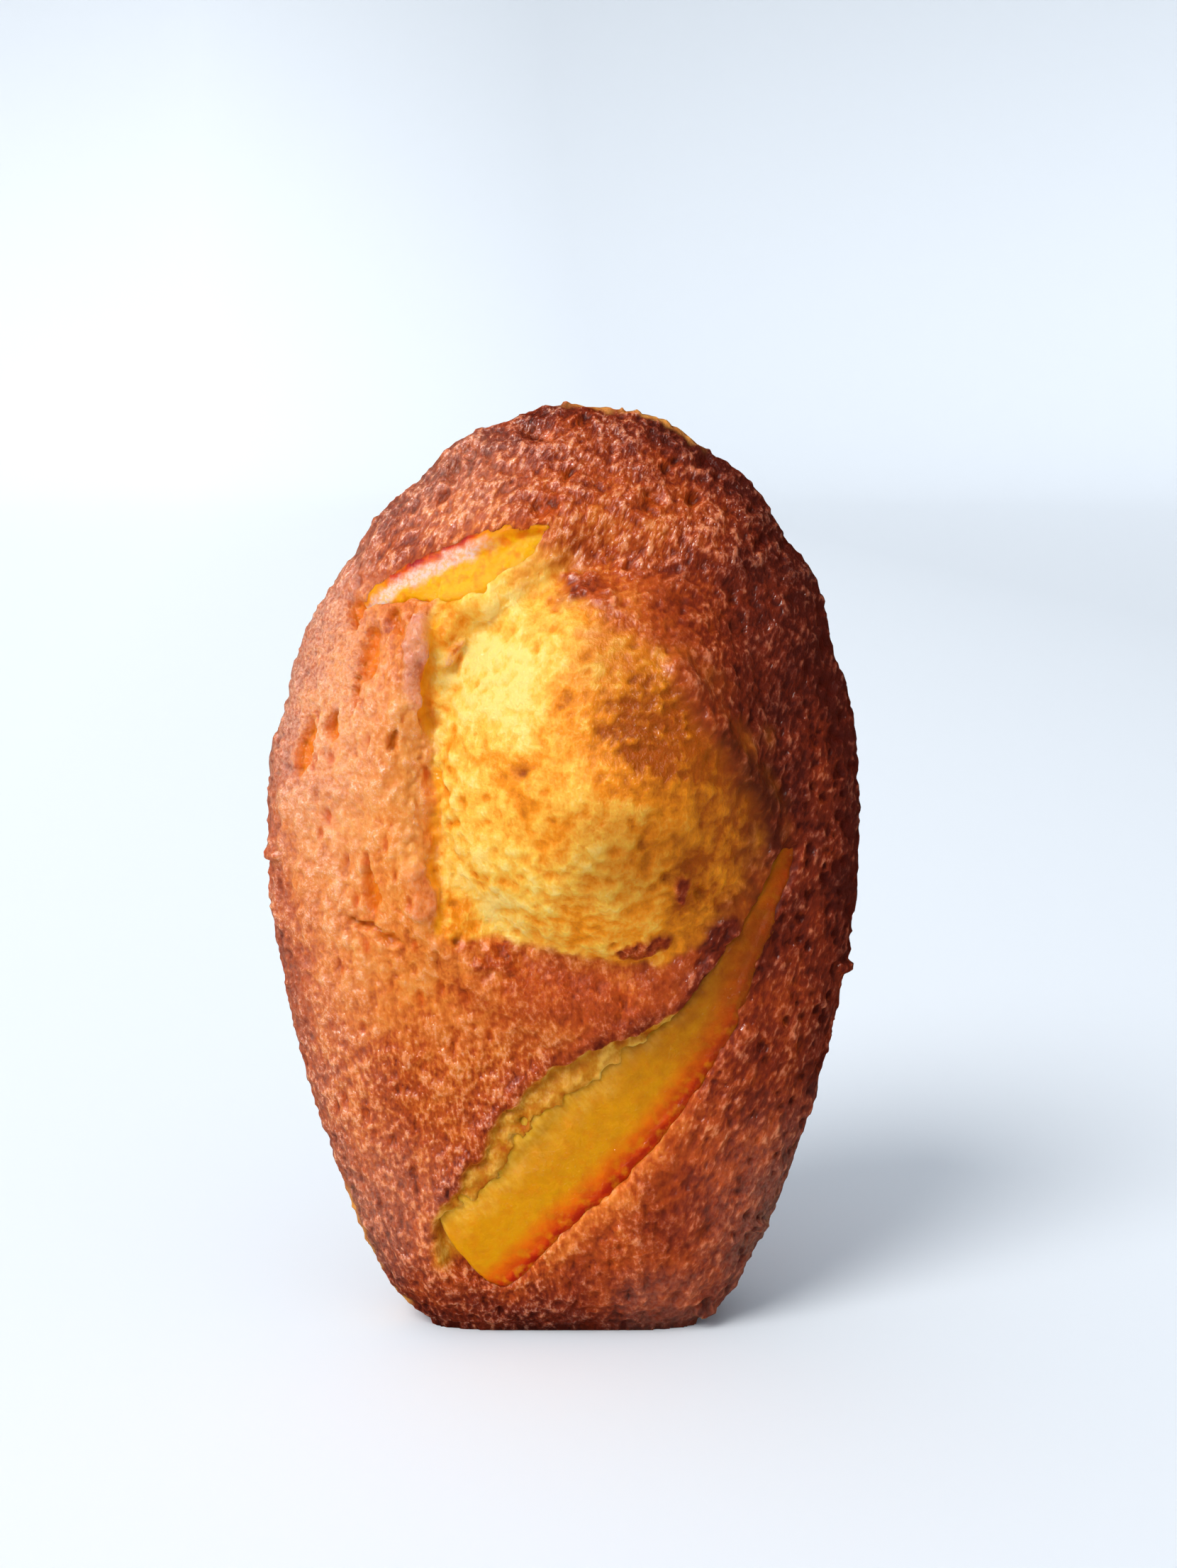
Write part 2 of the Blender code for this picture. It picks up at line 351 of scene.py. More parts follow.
view = {
    "lens": 50.0, "sensor": 36.0, "nearest": 0.005,
    "place": (0.00210, -0.17854, 0.07806), "tilt": math.radians(80.0),
}
camera = bpy.data.objects.new("camera", bpy.data.cameras.new("camera"))
camera.data.lens = view["lens"]
camera.data.sensor_width = view["sensor"]
camera.data.clip_start = view["nearest"]
camera.location = view["place"]
camera.rotation_euler = (view["tilt"], 0.0, 0.0)
scene.collection.objects.link(camera)
scene.camera = camera
scene.view_settings.view_transform = "Standard"

sunlight = {
    "from": (-0.62, -0.74, 0.95), "spread": math.radians(30.0), "strength": 2.15, "colour": (1.0, 0.985, 0.96),
}
sheenLamps = {
    "sheenSide": {"place": (-0.62, -0.52, 0.34), "size": 0.12, "power": 4.0, "colour": (0.96, 0.96, 1.0)},
    "sheenTop": {"place": (-0.25, -0.45, 0.75), "size": 0.11, "power": 1.3, "colour": (1.0, 0.97, 0.94)},
}
surround = {
    "colour": (0.88, 0.94, 1.0), "bright": (-0.70, -0.35, 0.60), "turnsBright": -0.4,
    "strengths": {"To Min": 0.06, "To Max": 1.12},
}


def addLamp(name, kind, place, colour):
    lamp = bpy.data.objects.new(name, bpy.data.lights.new(name, kind))
    lamp.location = place
    lamp.rotation_euler = Vector(place).to_track_quat("Z", "Y").to_euler()
    lamp.data.color = colour
    lamp.visible_camera = False
    scene.collection.objects.link(lamp)
    return lamp


sun = addLamp("sun", "SUN", sunlight["from"], sunlight["colour"])
sun.data.energy = sunlight["strength"]
sun.data.angle = sunlight["spread"]
for name, values in sheenLamps.items():
    sheen = addLamp(name, "AREA", values["place"], values["colour"])
    sheen.data.shape = "DISK"
    sheen.data.size = values["size"]
    sheen.data.energy = values["power"]
    sheen.visible_diffuse = False  # these draw the gloss and cast no shadow


def addSurround():
    # soft daylight, brightest on the left
    world = bpy.data.worlds.new("studio")
    scene.world = world
    world.use_nodes = True
    world.cycles_visibility.glossy = False
    tree = world.node_tree
    sky = tree.nodes["Background"]
    sky.inputs["Color"].default_value = (*surround["colour"], 1.0)
    links = {
        0: addNode(tree, "ShaderNodeTexCoord").outputs["Generated"],
        1: tuple(Vector(surround["bright"]).normalized()),
    }
    along = addNode(tree, "ShaderNodeVectorMath", links, operation="DOT_PRODUCT").outputs["Value"]
    links = {"Value": along, "From Min": surround["turnsBright"], **surround["strengths"]}
    strength = addNode(tree, "ShaderNodeMapRange", links, interpolation_type="SMOOTHSTEP").outputs["Result"]
    tree.links.new(strength, sky.inputs["Strength"])


addSurround()

# the far tone and the wall shade paint light falling off towards the right and up the wall
stageShape = {
    "flat": 1.5, "bend": 0.9, "rise": 0.1, "steps": 20, "turns": 96,
    "tone": (0.86, 0.90, 0.95), "shadedFarTone": (0.66, 0.70, 0.75), "wallShade": 0.84,
}


def addStage():
    # a wide shallow bowl, so that no horizon shows from any side
    bpy.ops.object.select_all(action="DESELECT")
    flat, bend, steps = stageShape["flat"], stageShape["bend"], stageShape["steps"]
    bpy.ops.mesh.primitive_circle_add(vertices=stageShape["turns"], radius=flat, fill_type="NGON")
    bowl = bpy.context.object
    bowl.name = "floor"
    bowl.visible_glossy = False
    setMode("EDIT")
    bpy.ops.mesh.select_all(action="SELECT")
    reach, height = flat, 0.0
    for step in range(steps + 1):
        angle = 0.5 * math.pi * min(1.0, (step + 1) / steps)
        wider = flat + bend * math.sin(angle)
        higher = bend * (1 - math.cos(angle)) + (stageShape["rise"] if step == steps else 0.0)
        bpy.ops.mesh.extrude_region_move(TRANSFORM_OT_translate={"value": (0, 0, higher - height)})
        bpy.ops.transform.resize(value=(wider / reach, wider / reach, 1.0))
        reach, height = wider, higher
    bpy.ops.mesh.delete(type="ONLY_FACE")
    bpy.ops.mesh.select_all(action="DESELECT")
    setMode("OBJECT")
    bpy.ops.object.shade_smooth()
    return bowl


floor = addStage()
print("stage, camera and lights done")

# every line, outline and oval lies on the cake's own plane as (x, up), and all sizes are millimetres;
# an oval is its middle, its radii and its turn in degrees
cakeForm = {
    "voxel": 0.545,
    "slotFill": 0.2,
    "soften": {"coarse": 5, "fine": 3},
    "fineFacing": 0.12,
    "crumbOutline": [
        (-9.8, 36.0), (-10.0, 44.0), (-10.4, 52.0), (-10.5, 58.0), (-10.2, 62.2), (-7.4, 63.2), (-4.8, 64.8),
        (-2.4, 65.6), (-0.8, 64.4), (0.6, 62.6), (2.0, 61.0), (5.0, 59.4), (8.4, 57.4), (10.6, 54.4),
        (13.4, 50.6), (15.6, 46.4), (15.9, 42.0), (14.6, 38.2), (11.6, 34.8), (8.0, 33.0), (4.0, 33.0),
        (0.0, 34.0), (-3.0, 34.6), (-6.0, 35.3), (-8.8, 34.7),
    ],
    "crumbEdge": {"crisp": 0.4, "loose": 2.6, "fray": 0.8},
    "groove": {
        "line": [
            (-9.9, 60.6), (-10.4, 57.1), (-10.9, 54.6), (-11.2, 52.9), (-10.3, 51.0), (-10.3, 46.0),
            (-10.3, 41.7), (-9.9, 38.5), (-9.7, 35.6),
        ],
        "depth": 0.40, "wall": (0.2, 0.8), "glowWall": (0.1, 0.5),
    },
    "lip": {
        "line": [(-12.0, 53.4), (-11.6, 51.0), (-11.5, 47.5), (-11.6, 44.0), (-12.3, 41.6)],
        "width": 1.2, "edge": 0.9, "height": 0.30, "grain": 0.14,
    },
    "flap": {
        "ovals": [
            ((-11.4, 58.6), (1.25, 3.4), 8), ((-11.9, 55.4), (0.8, 2.6), -2), ((-8.7, 58.0), (0.6, 1.8), 34),
        ],
        "wall": (0.05, 0.5), "height": 0.65, "grain": 0.14,
    },
    "lump": {"line": [(-11.6, 40.4), (-11.2, 39.0), (-11.0, 37.6)], "width": 1.05, "edge": 0.55, "height": 0.55},
    "ridge": {
        "line": [
            (8.8, 57.4), (10.6, 54.6), (12.8, 51.6), (14.9, 48.6), (16.3, 46.4), (16.8, 44.3), (16.7, 42.2),
        ],
        "width": 0.85, "edge": 0.8, "height": 0.65,
    },
    "slits": {
        "ovals": [
            ((-20.8, 50.2), (0.9, 3.4), 16), ((-15.6, 57.8), (1.0, 3.4), 10), ((-18.4, 52.0), (0.6, 1.6), 8),
            ((-16.6, 61.2), (0.9, 1.6), 14), ((-16.6, 54.6), (0.5, 1.8), 6), ((-13.2, 60.4), (0.7, 1.5), -20),
            ((-15.5, 38.8), (0.8, 2.7), -3), ((-15.2, 35.4), (0.6, 3.6), 119), ((-13.4, 51.1), (0.8, 1.2), 30),
        ],
        "wall": (0.1, 0.6), "depth": 0.85,
    },
    "holes": {
        "ovals": [
            ((-8.4, 34.9), (0.6, 0.8), 10), ((11.0, 39.0), (0.7, 0.9), -20), ((-3.4, 19.5), (0.7, 0.6), 0),
            ((-4.0, 18.0), (0.8, 0.7), 0), ((-8.2, 12.6), (0.8, 0.5), 20), ((-2.1, 75.6), (2.2, 1.1), 20),
            ((-7.6, 74.0), (1.2, 1.0), 0), ((-8.8, 72.4), (0.8, 1.4), 10), ((-1.9, 69.3), (0.8, 1.2), 0),
            ((7.3, 70.4), (1.4, 0.8), 30), ((10.4, 70.1), (0.9, 0.9), 0),
        ],
        "depth": 0.65,
    },
    "toasted": {
        "ovals": [
            ((2.4, 63.2), (3.0, 1.5), 20), ((-5.3, 33.3), (2.6, 1.7), 10), ((6.6, 34.3), (3.4, 1.3), -15),
            ((9.4, 39.3), (1.0, 1.6), 0), ((12.8, 35.2), (2.2, 1.4), -35),
        ],
        "wall": (0.05, 0.6), "fray": [(0.5, 1.1, 75.0)], "height": 0.3,
    },
    "rimCrumbs": {
        "ovals": [
            ((23.8, 31.3), (1.3, 0.7)), ((11.9, 1.9), (1.3, 0.7)), ((16.2, 9.4), (1.3, 0.7)),
            ((-24.2, 41.0), (1.3, 0.7)),
        ],
        "wall": (0.1, 0.6), "height": 0.6,
    },
    "swells": [(0.6, (-5.5, 61.6), (5.0, 2.2), 20.0), (-0.6, (5.5, 52.2), (6.5, 4.2), -20.0)],
    "leftSwell": 0.35,
    "tornEdge": {
        "line": [
            (-11.4, 10.4), (-9.2, 13.0), (-7.2, 16.0), (-5.4, 19.4), (-3.4, 21.7), (-0.8, 24.2), (2.6, 25.8),
            (7.0, 27.7), (10.0, 29.3), (12.6, 31.6),
        ],
        "ends": ((-11.4, -10.0), (11.5, 13.0)), "wall": (-0.15, 0.3), "reach": (3.6, 4.8), "sink": 0.32,
        "crustHeight": 0.35, "crustReach": (0.5, 2.2),
    },
    "longPeel": [
        (-4.9, 4.7), (-2.3, 7.4), (0.0, 10.0), (2.7, 12.4), (5.0, 14.9), (7.3, 17.4), (9.6, 20.5), (11.8, 23.9),
        (13.5, 27.2), (14.7, 31.2), (15.8, 34.2), (17.0, 36.8), (18.1, 38.8), (19.0, 41.0), (19.0, 42.8),
        (18.2, 43.0), (17.2, 41.6), (16.2, 39.0), (14.2, 35.6), (11.6, 32.0), (8.5, 28.0), (5.5, 26.0),
        (2.7, 23.5), (-0.2, 21.2), (-2.3, 20.0), (-3.4, 18.2), (-4.3, 16.6), (-5.5, 14.6), (-7.8, 12.6),
        (-10.3, 11.2), (-11.3, 8.8), (-10.0, 6.6), (-7.8, 5.0),
    ],
    "shortPeel": [
        (-16.1, 61.6), (-15.0, 63.1), (-13.0, 64.0), (-9.8, 66.0), (-7.5, 67.2), (-4.7, 67.6), (-1.2, 68.1),
        (-2.1, 65.8), (-5.0, 63.9), (-5.8, 62.8), (-7.5, 62.2), (-9.8, 61.9), (-12.5, 61.9), (-14.8, 61.7),
    ],
    "longRindPoints": 15,
    "shortRindPoints": 6,
    "recess": {
        "depth": 1.1, "wall": (0.0, 0.55), "top": (41.0, 43.5), "pastLongRind": 0.4, "pastShortRind": 0.3,
    },
    "footSmooth": 1.6,
    "boxGap": 0.02,
}

# each layer is its strength, size and seed, each kind of pores its size, seed, share of cells and reach;
# where one leans, its turn and its stretch follow
cakeGrain = {
    "wander": [(0.45, 1.5, 3.0), (0.25, 0.7, 13.0)],
    "drift": [(0.45, 1.5, 8.0), (0.25, 0.7, 18.0)],
    "lumps": [(0.20, 5.5, 1.0), (0.18, 2.6, 5.0)],
    "specks": [(1.0, 0.58, 35.0)],
    "leaning": {
        "grain": (0.85, 21.0, 24.0, (1.0, 1.0, 1.5)), "crests": (1.3, 23.0, 24.0, (1.0, 1.0, 1.6)), "share": 0.15,
    },
    "strands": {
        "grain": (1.0, 25.0, -4.0, (0.8, 1.0, 2.4)), "crests": (1.4, 27.0, -4.0, (0.8, 1.0, 2.2)), "share": 0.2,
    },
    "beads": [(1.0, 0.85, 31.0, -12.0, (1.0, 1.0, 1.3))],
    "heights": {"leaning": 0.20, "strands": 0.20, "beads": 0.22, "specks": 0.16, "leftSpecks": 0.08},
    "depths": {"topPores": 0.40, "leftPores": 0.30, "rimPores": 0.36, "crumbPores": 0.18, "tornPores": 0.30},
    "topPores": (1.9, 41.0, 0.55, 0.36, 26.0, (1.0, 1.0, 1.6)),
    "leftPores": (1.4, 47.0, 0.5, 0.33, -4.0, (0.8, 1.0, 1.9)),
    "rimPores": (1.2, 53.0, 0.8, 0.44),
    "crumb": [(0.15, 1.0, 67.0), (0.14, 2.1, 65.0), (0.13, 0.58, 35.0)],
    "crumbPores": (1.7, 61.0, 0.5, 0.42),
    "crumbLeft": {"layers": [(0.3, 0.9, 79.0)], "oval": ((-9.0, 50.0), (2.2, 15.0))},
    "crumbRight": {"layers": [(0.14, 0.58, 35.0), (0.16, 1.3, 87.0)], "oval": ((7.0, 53.0), (8.0, 7.0))},
    "torn": [(0.28, 1.25, 69.0), (0.18, 0.7, 71.0)],
    "tornPores": (1.5, 77.0, 0.5, 0.45),
    "shell": [(0.05, 1.2, 73.0)],
    "crumbFray": [(1.0, 2.2, 9.0)],
    "grooveFray": [(0.5, 1.6, 81.0)],
    "valley": {"layers": [(0.45, 1.5, 83.0), (0.30, 0.8, 85.0)], "oval": ((-9.9, 47.5), (2.0, 17.0))},
}

# how browned or baked each place is, from 0 to 1, and where sugar frost with a painted sheen, painted glints and
# painted shade go; each patch is its strength and then its oval
cakeBrowning = {
    "crust": 0.42,
    "crustGrain": [(0.08, 7.0, 91.0), (0.10, 2.2, 95.0)],
    "crustPatches": [
        (0.16, (1.0, 75.0), (15.0, 9.0)), (0.12, (3.0, 29.0), (10.0, 5.0)), (0.10, (-4.0, 3.0), (8.0, 5.0)),
        (-0.08, (12.0, 5.0), (7.0, 8.0)), (0.08, (-13.0, 69.0), (9.0, 9.0)), (-0.08, (11.0, 70.0), (7.0, 7.0)),
        (0.12, (-14.0, 15.0), (6.0, 12.0)), (0.10, (9.0, 13.0), (5.0, 8.0)), (-0.24, (-15.0, 44.0), (12.0, 24.0)),
    ],
    "rim": 0.20, "foot": 0.26, "right": 0.28, "rightUpper": 0.16, "rightRim": 0.08,
    # the crust beside the lower rind is left lighter, a painted orange glow
    "glowBesideRind": -0.16, "lip": -0.22, "toast": 0.14, "ridge": 0.08, "tornEdge": 0.16,
    "back": 0.60, "backGrain": [(0.08, 3.0, 97.0)], "backRim": 0.08, "backRimRight": 0.22,
    "crumb": 0.24, "crumbAcross": 0.18, "crumbRight": 0.36,
    "crumbHole": 0.4, "crumbFoot": 0.08, "crumbFarRight": 0.1,
    "saddle": [(0.52, (7.8, 52.0), (8.0, 5.8), -20.0)],
    "crumbStreaks": [(0.25, (-4.6, 50.2), (2.6, 3.0)), (0.3, (-3.2, 47.8), (1.6, 4.0))],
    # the patch lifting the crumb at (-5.5, 56.0) paints a highlight on the upper left of the hump
    "crumbPatches": [
        (0.25, (-8.5, 36.5), (3.0, 3.0)), (0.25, (-8.5, 59.5), (2.0, 4.0)), (-0.2, (5.5, 58.0), (6.0, 2.6), -30.0),
        (0.16, (1.5, 55.0), (6.0, 5.0)), (0.22, (10.0, 39.5), (3.0, 5.0)), (-0.28, (-5.5, 56.0), (6.0, 7.0)),
        (-0.3, (-5.0, 37.5), (2.8, 2.4)),
    ],
    # painted shade on the crumb below the upper right of the hump
    "shadePatches": [(0.7, (4.5, 58.0), (6.0, 4.5), -20.0)],
    "goldFray": [(0.5, 1.0, 99.0)],
    # sugar frost with a painted sheen of pinkish glints
    "frostAndSheenPatches": [
        (0.40, (-20.0, 56.0), (9.0, 20.0)), (0.2, (-10.0, 72.0), (9.0, 8.0)), (0.15, (-14.0, 12.0), (7.0, 9.0)),
        (0.12, (8.0, 3.0), (6.0, 5.0)),
    ],
    "frostAndSheenLeft": 0.18, "frostAndSheenFlap": 0.5, "frostAndSheenLowRight": 0.24,
    # painted glints: pale flecks over the crust's raised grain
    "dust": 0.10, "dustTop": 0.26, "dustLowLeft": 0.08, "dustLeft": 0.3, "dustFlap": 0.5,
    "dustPatches": [(0.35, (-13.5, 47.0), (5.0, 15.0))],
    "crumbMatte": 0.55, "mattePatches": [(0.4, (-1.0, 43.0), (9.0, 9.0))], "wetPatch": ((7.0, 54.5), (9.0, 8.0)),
}


def shapeCake():
    cake = mergedCopy("cake", "cakeCrust")
    fillers = [mergedCopy(node, "fill") for node in ("peel_long", "peel_short")]
    for filler in fillers:
        applyModifier(filler, "DISPLACE", strength=cakeForm["slotFill"] * mm, mid_level=0.0)
    pickOnly(cake, *fillers)
    bpy.ops.object.join()
    applyModifier(cake, "REMESH", mode="VOXEL", voxel_size=cakeForm["voxel"] * mm)
    applyModifier(cake, "SMOOTH", factor=0.5, iterations=cakeForm["soften"]["coarse"])
    splitFaces(cake, readVectors(cake.data.polygons, "normal")[:, 1] < -cakeForm["fineFacing"])
    applyModifier(cake, "SMOOTH", factor=0.5, iterations=cakeForm["soften"]["fine"])
    return cake


def rimDistance(points, facing):
    rim = np.flatnonzero(np.abs(facing) < cakeForm["fineFacing"])
    tree = KDTree(len(rim))
    for order, index in enumerate(rim):
        tree.insert(points[index], order)
    tree.balance()
    return np.array([tree.find(point)[2] for point in points.tolist()]) / mm


def findAreas(points, normals):
    # the main kinds of surface, each from 0 to 1, and some distances
    form, area = cakeForm, SimpleNamespace()
    x, up, _ = planePlaces(points)
    area.x, area.up = x, up
    area.facing = -normals[:, 1]
    area.front = smooth(area.facing, 0.0, 0.5)
    area.skin = smooth(area.facing, -0.5, 0.0)
    area.rimAway = rimDistance(points, area.facing)
    area.wander, area.drift = layered(points, cakeGrain["wander"]), layered(points, cakeGrain["drift"])
    strayX, strayUp = x + area.wander, up + area.drift

    area.top = smooth(up, 60.0, 66.0)
    area.right = smooth(x, 5.0, 12.0)
    area.leftFine = blob(x, up, (-19.5, 57.0), (7.0, 9.0))
    area.lowLeft = fading(up, 24.0, 34.0) * fading(x, -2.0, 4.0)
    area.leftMid = (1 - area.top) * (1 - area.lowLeft) * (1 - area.right)
    area.poreBand = smooth(x, 10.5 + 0.15 * up, 14.5 + 0.15 * up) * fading(up, 50.0, 60.0)
    area.calm = 1 - 0.7 * blob(x, up, (2.0, 30.0), (12.0, 4.5))

    edge = form["crumbEdge"]
    loose = edge["crisp"] + edge["loose"] * smooth(x + 0.6 * (up - 48), 2.0, 9.0)
    crumbIn = inside(strayX, strayUp, form["crumbOutline"])
    frayed = edge["fray"] * loose * layered(points, cakeGrain["crumbFray"])
    area.crumb = smooth(crumbIn + frayed, -loose, loose) * area.front
    toasted = ovals(strayX, strayUp, form["toasted"]["ovals"])
    frayed = layered(points, form["toasted"]["fray"])
    area.toast = smooth(toasted * area.front + frayed, *form["toasted"]["wall"]) * (toasted > 0)
    area.ridge = stroke(strayX, up, form["ridge"]) * area.front
    area.crumb *= 1 - strongest(area.toast, 0.8 * area.ridge)

    edge = form["tornEdge"]
    away, side = nearLine(strayX, strayUp, edge["line"])
    ends = band(x, *edge["ends"]) * area.front
    area.torn = smooth(side * away, *edge["wall"]) * fading(away, *edge["reach"]) * ends
    area.overTorn = smooth(-side * away, -0.2, 0.1) * fading(away, *edge["crustReach"]) * ends
    area.crust = (1 - area.crumb) * (1 - area.torn) * area.skin

    recess = form["recess"]
    fray = 0.6 + 0.8 * strongest(area.torn, blob(x, up, (-7.0, 63.0), (5.0, 2.5)))
    frayX, frayUp = x + fray * area.wander, up + fray * area.drift
    area.rindAway = nearLine(x, up, form["longPeel"][:form["longRindPoints"]])[0]
    shortRindAway = nearLine(x, up, form["shortPeel"][:form["shortRindPoints"]])[0]
    peelIn = strongest(inside(frayX, frayUp, form["longPeel"]), inside(frayX, frayUp, form["shortPeel"]))
    peelIn += recess["pastLongRind"] * fading(area.rindAway, 0.4, 1.4)
    area.peelIn = peelIn + recess["pastShortRind"] * fading(shortRindAway, 0.3, 1.0)
    aboveRecess = smooth(up, *recess["top"]) * (up < 50)
    area.underPeel = smooth(area.peelIn, *recess["wall"]) * area.front * (1 - aboveRecess)
    return area


def addGrain(points, area):
    # the fine relief of the crust, the open crumb and the torn crumb
    look, height, depth = cakeGrain, cakeGrain["heights"], cakeGrain["depths"]
    top, right, leftMid = area.top, area.right, area.leftMid
    area.lumps = layered(points, look["lumps"])
    area.specks = layered(points, look["specks"])
    leaning = veined(points, look["leaning"]) * strongest(top, 0.9 * right)
    strands = veined(points, look["strands"]) * leftMid * (1 - 0.6 * area.leftFine)
    beads = layered(points, look["beads"]) * strongest(area.lowLeft, 0.5 * top, 0.6 * right, 0.4 * leftMid)
    topPores = pores(points, *look["topPores"]) * strongest(top, 0.7 * right)
    leftPores = pores(points, *look["leftPores"]) * (1 - top) * (1 - right) * (1 - 0.6 * area.leftFine)
    rimPores = pores(points, *look["rimPores"]) * area.poreBand
    area.pit = strongest(topPores, 0.85 * leftPores, rimPores) * area.crust

    texture = height["leaning"] * leaning + height["strands"] * strands + height["beads"] * beads
    texture *= area.calm * (1 - 0.7 * area.poreBand)
    speckHeight = height["specks"] + height["leftSpecks"] * leftMid
    texture += speckHeight * area.specks * (0.4 + 0.6 * area.calm)
    texture -= area.calm * depth["topPores"] * topPores
    texture -= depth["leftPores"] * leftPores + depth["rimPores"] * rimPores
    area.crustGrain = area.crust * texture

    sponge = layered(points, look["crumb"])
    sponge -= depth["crumbPores"] * pores(points, *look["crumbPores"])
    for side in ("crumbLeft", "crumbRight"):
        sponge += layered(points, look[side]["layers"]) * blob(area.x, area.up, *look[side]["oval"])
    area.crumbGrain = area.crumb * sponge

    area.tornGrain = layered(points, look["torn"])
    area.tornGrain -= depth["tornPores"] * pores(points, *look["tornPores"])


def addCracks(points, area):
    # the groove left of the hump with its flaps and lip, the slits and the holes
    form, x, up, front = cakeForm, area.x, area.up, area.front
    strayX = x + area.wander
    area.grooveAway = nearLine(x + 0.7 * area.wander, up, form["groove"]["line"])[0]
    area.grooveAway += layered(points, cakeGrain["grooveFray"])
    area.groove = fading(area.grooveAway, *form["groove"]["wall"]) * front
    area.lip = stroke(strayX, up, form["lip"]) * front
    area.flap = walled(x + 0.4 * area.wander, up, form["flap"]) * front
    area.lump = stroke(x + 0.5 * area.wander, up, form["lump"]) * front
    area.slit = walled(strayX, up + 1.5 * area.drift, form["slits"]) * front
    area.hole = ovals(x, up, form["holes"]["ovals"]) * front


def raiseRelief(mesh, points, normals, area):
    form, x, up, front, specks = cakeForm, area.x, area.up, area.front, area.specks
    relief = area.lumps * (0.35 + 0.65 * front) + area.crustGrain + area.crumbGrain + area.torn * area.tornGrain
    relief += (1 - front) * layered(points, cakeGrain["shell"])
    relief += form["leftSwell"] * smooth(-x, 14.0, 20.0) * band(up, (44.0, 50.0), (64.0, 70.0))
    relief += form["flap"]["grain"] * specks * strongest(area.flap, area.toast)
    relief += form["lip"]["height"] * area.lip * (1 - area.groove) + form["flap"]["height"] * area.flap
    relief += form["lump"]["height"] * area.lump + form["ridge"]["height"] * area.ridge
    relief -= form["groove"]["depth"] * area.groove * (1 - area.flap)
    valley = cakeGrain["valley"]
    relief += blob(x + area.wander, up, *valley["oval"]) * front * layered(points, valley["layers"])
    relief += form["lip"]["grain"] * area.lip * specks
    relief -= form["slits"]["depth"] * area.slit + form["holes"]["depth"] * area.hole
    relief += form["toasted"]["height"] * area.toast + patches(x, up, form["swells"]) * front
    relief -= form["tornEdge"]["sink"] * smooth(-area.peelIn, 0.4, 2.0) * area.torn
    relief += form["tornEdge"]["crustHeight"] * area.overTorn
    relief = relief * (1 - 0.7 * area.underPeel) - form["recess"]["depth"] * area.underPeel
    caught = walled(x, up, form["rimCrumbs"]) * smooth(area.facing, -0.2, 0.1)
    relief += form["rimCrumbs"]["height"] * caught

    # the foot stays flat, and nothing leaves the box of the solids
    relief *= np.where(normals[:, 2] < -0.5, smooth(up, 0.0, form["footSmooth"]), 1.0)
    points = points + normals * (relief * mm)[:, None]
    low, high = np.array(cadBounds[0]) + form["boxGap"] * mm, np.array(cadBounds[1]) - form["boxGap"] * mm
    points = np.clip(points, low, high)
    flat = (normals[:, 2] < -0.7) & (points[:, 2] < 0.5 * mm)
    points[flat, 2] = cadBounds[0][2]
    writePoints(mesh, points)
    return points


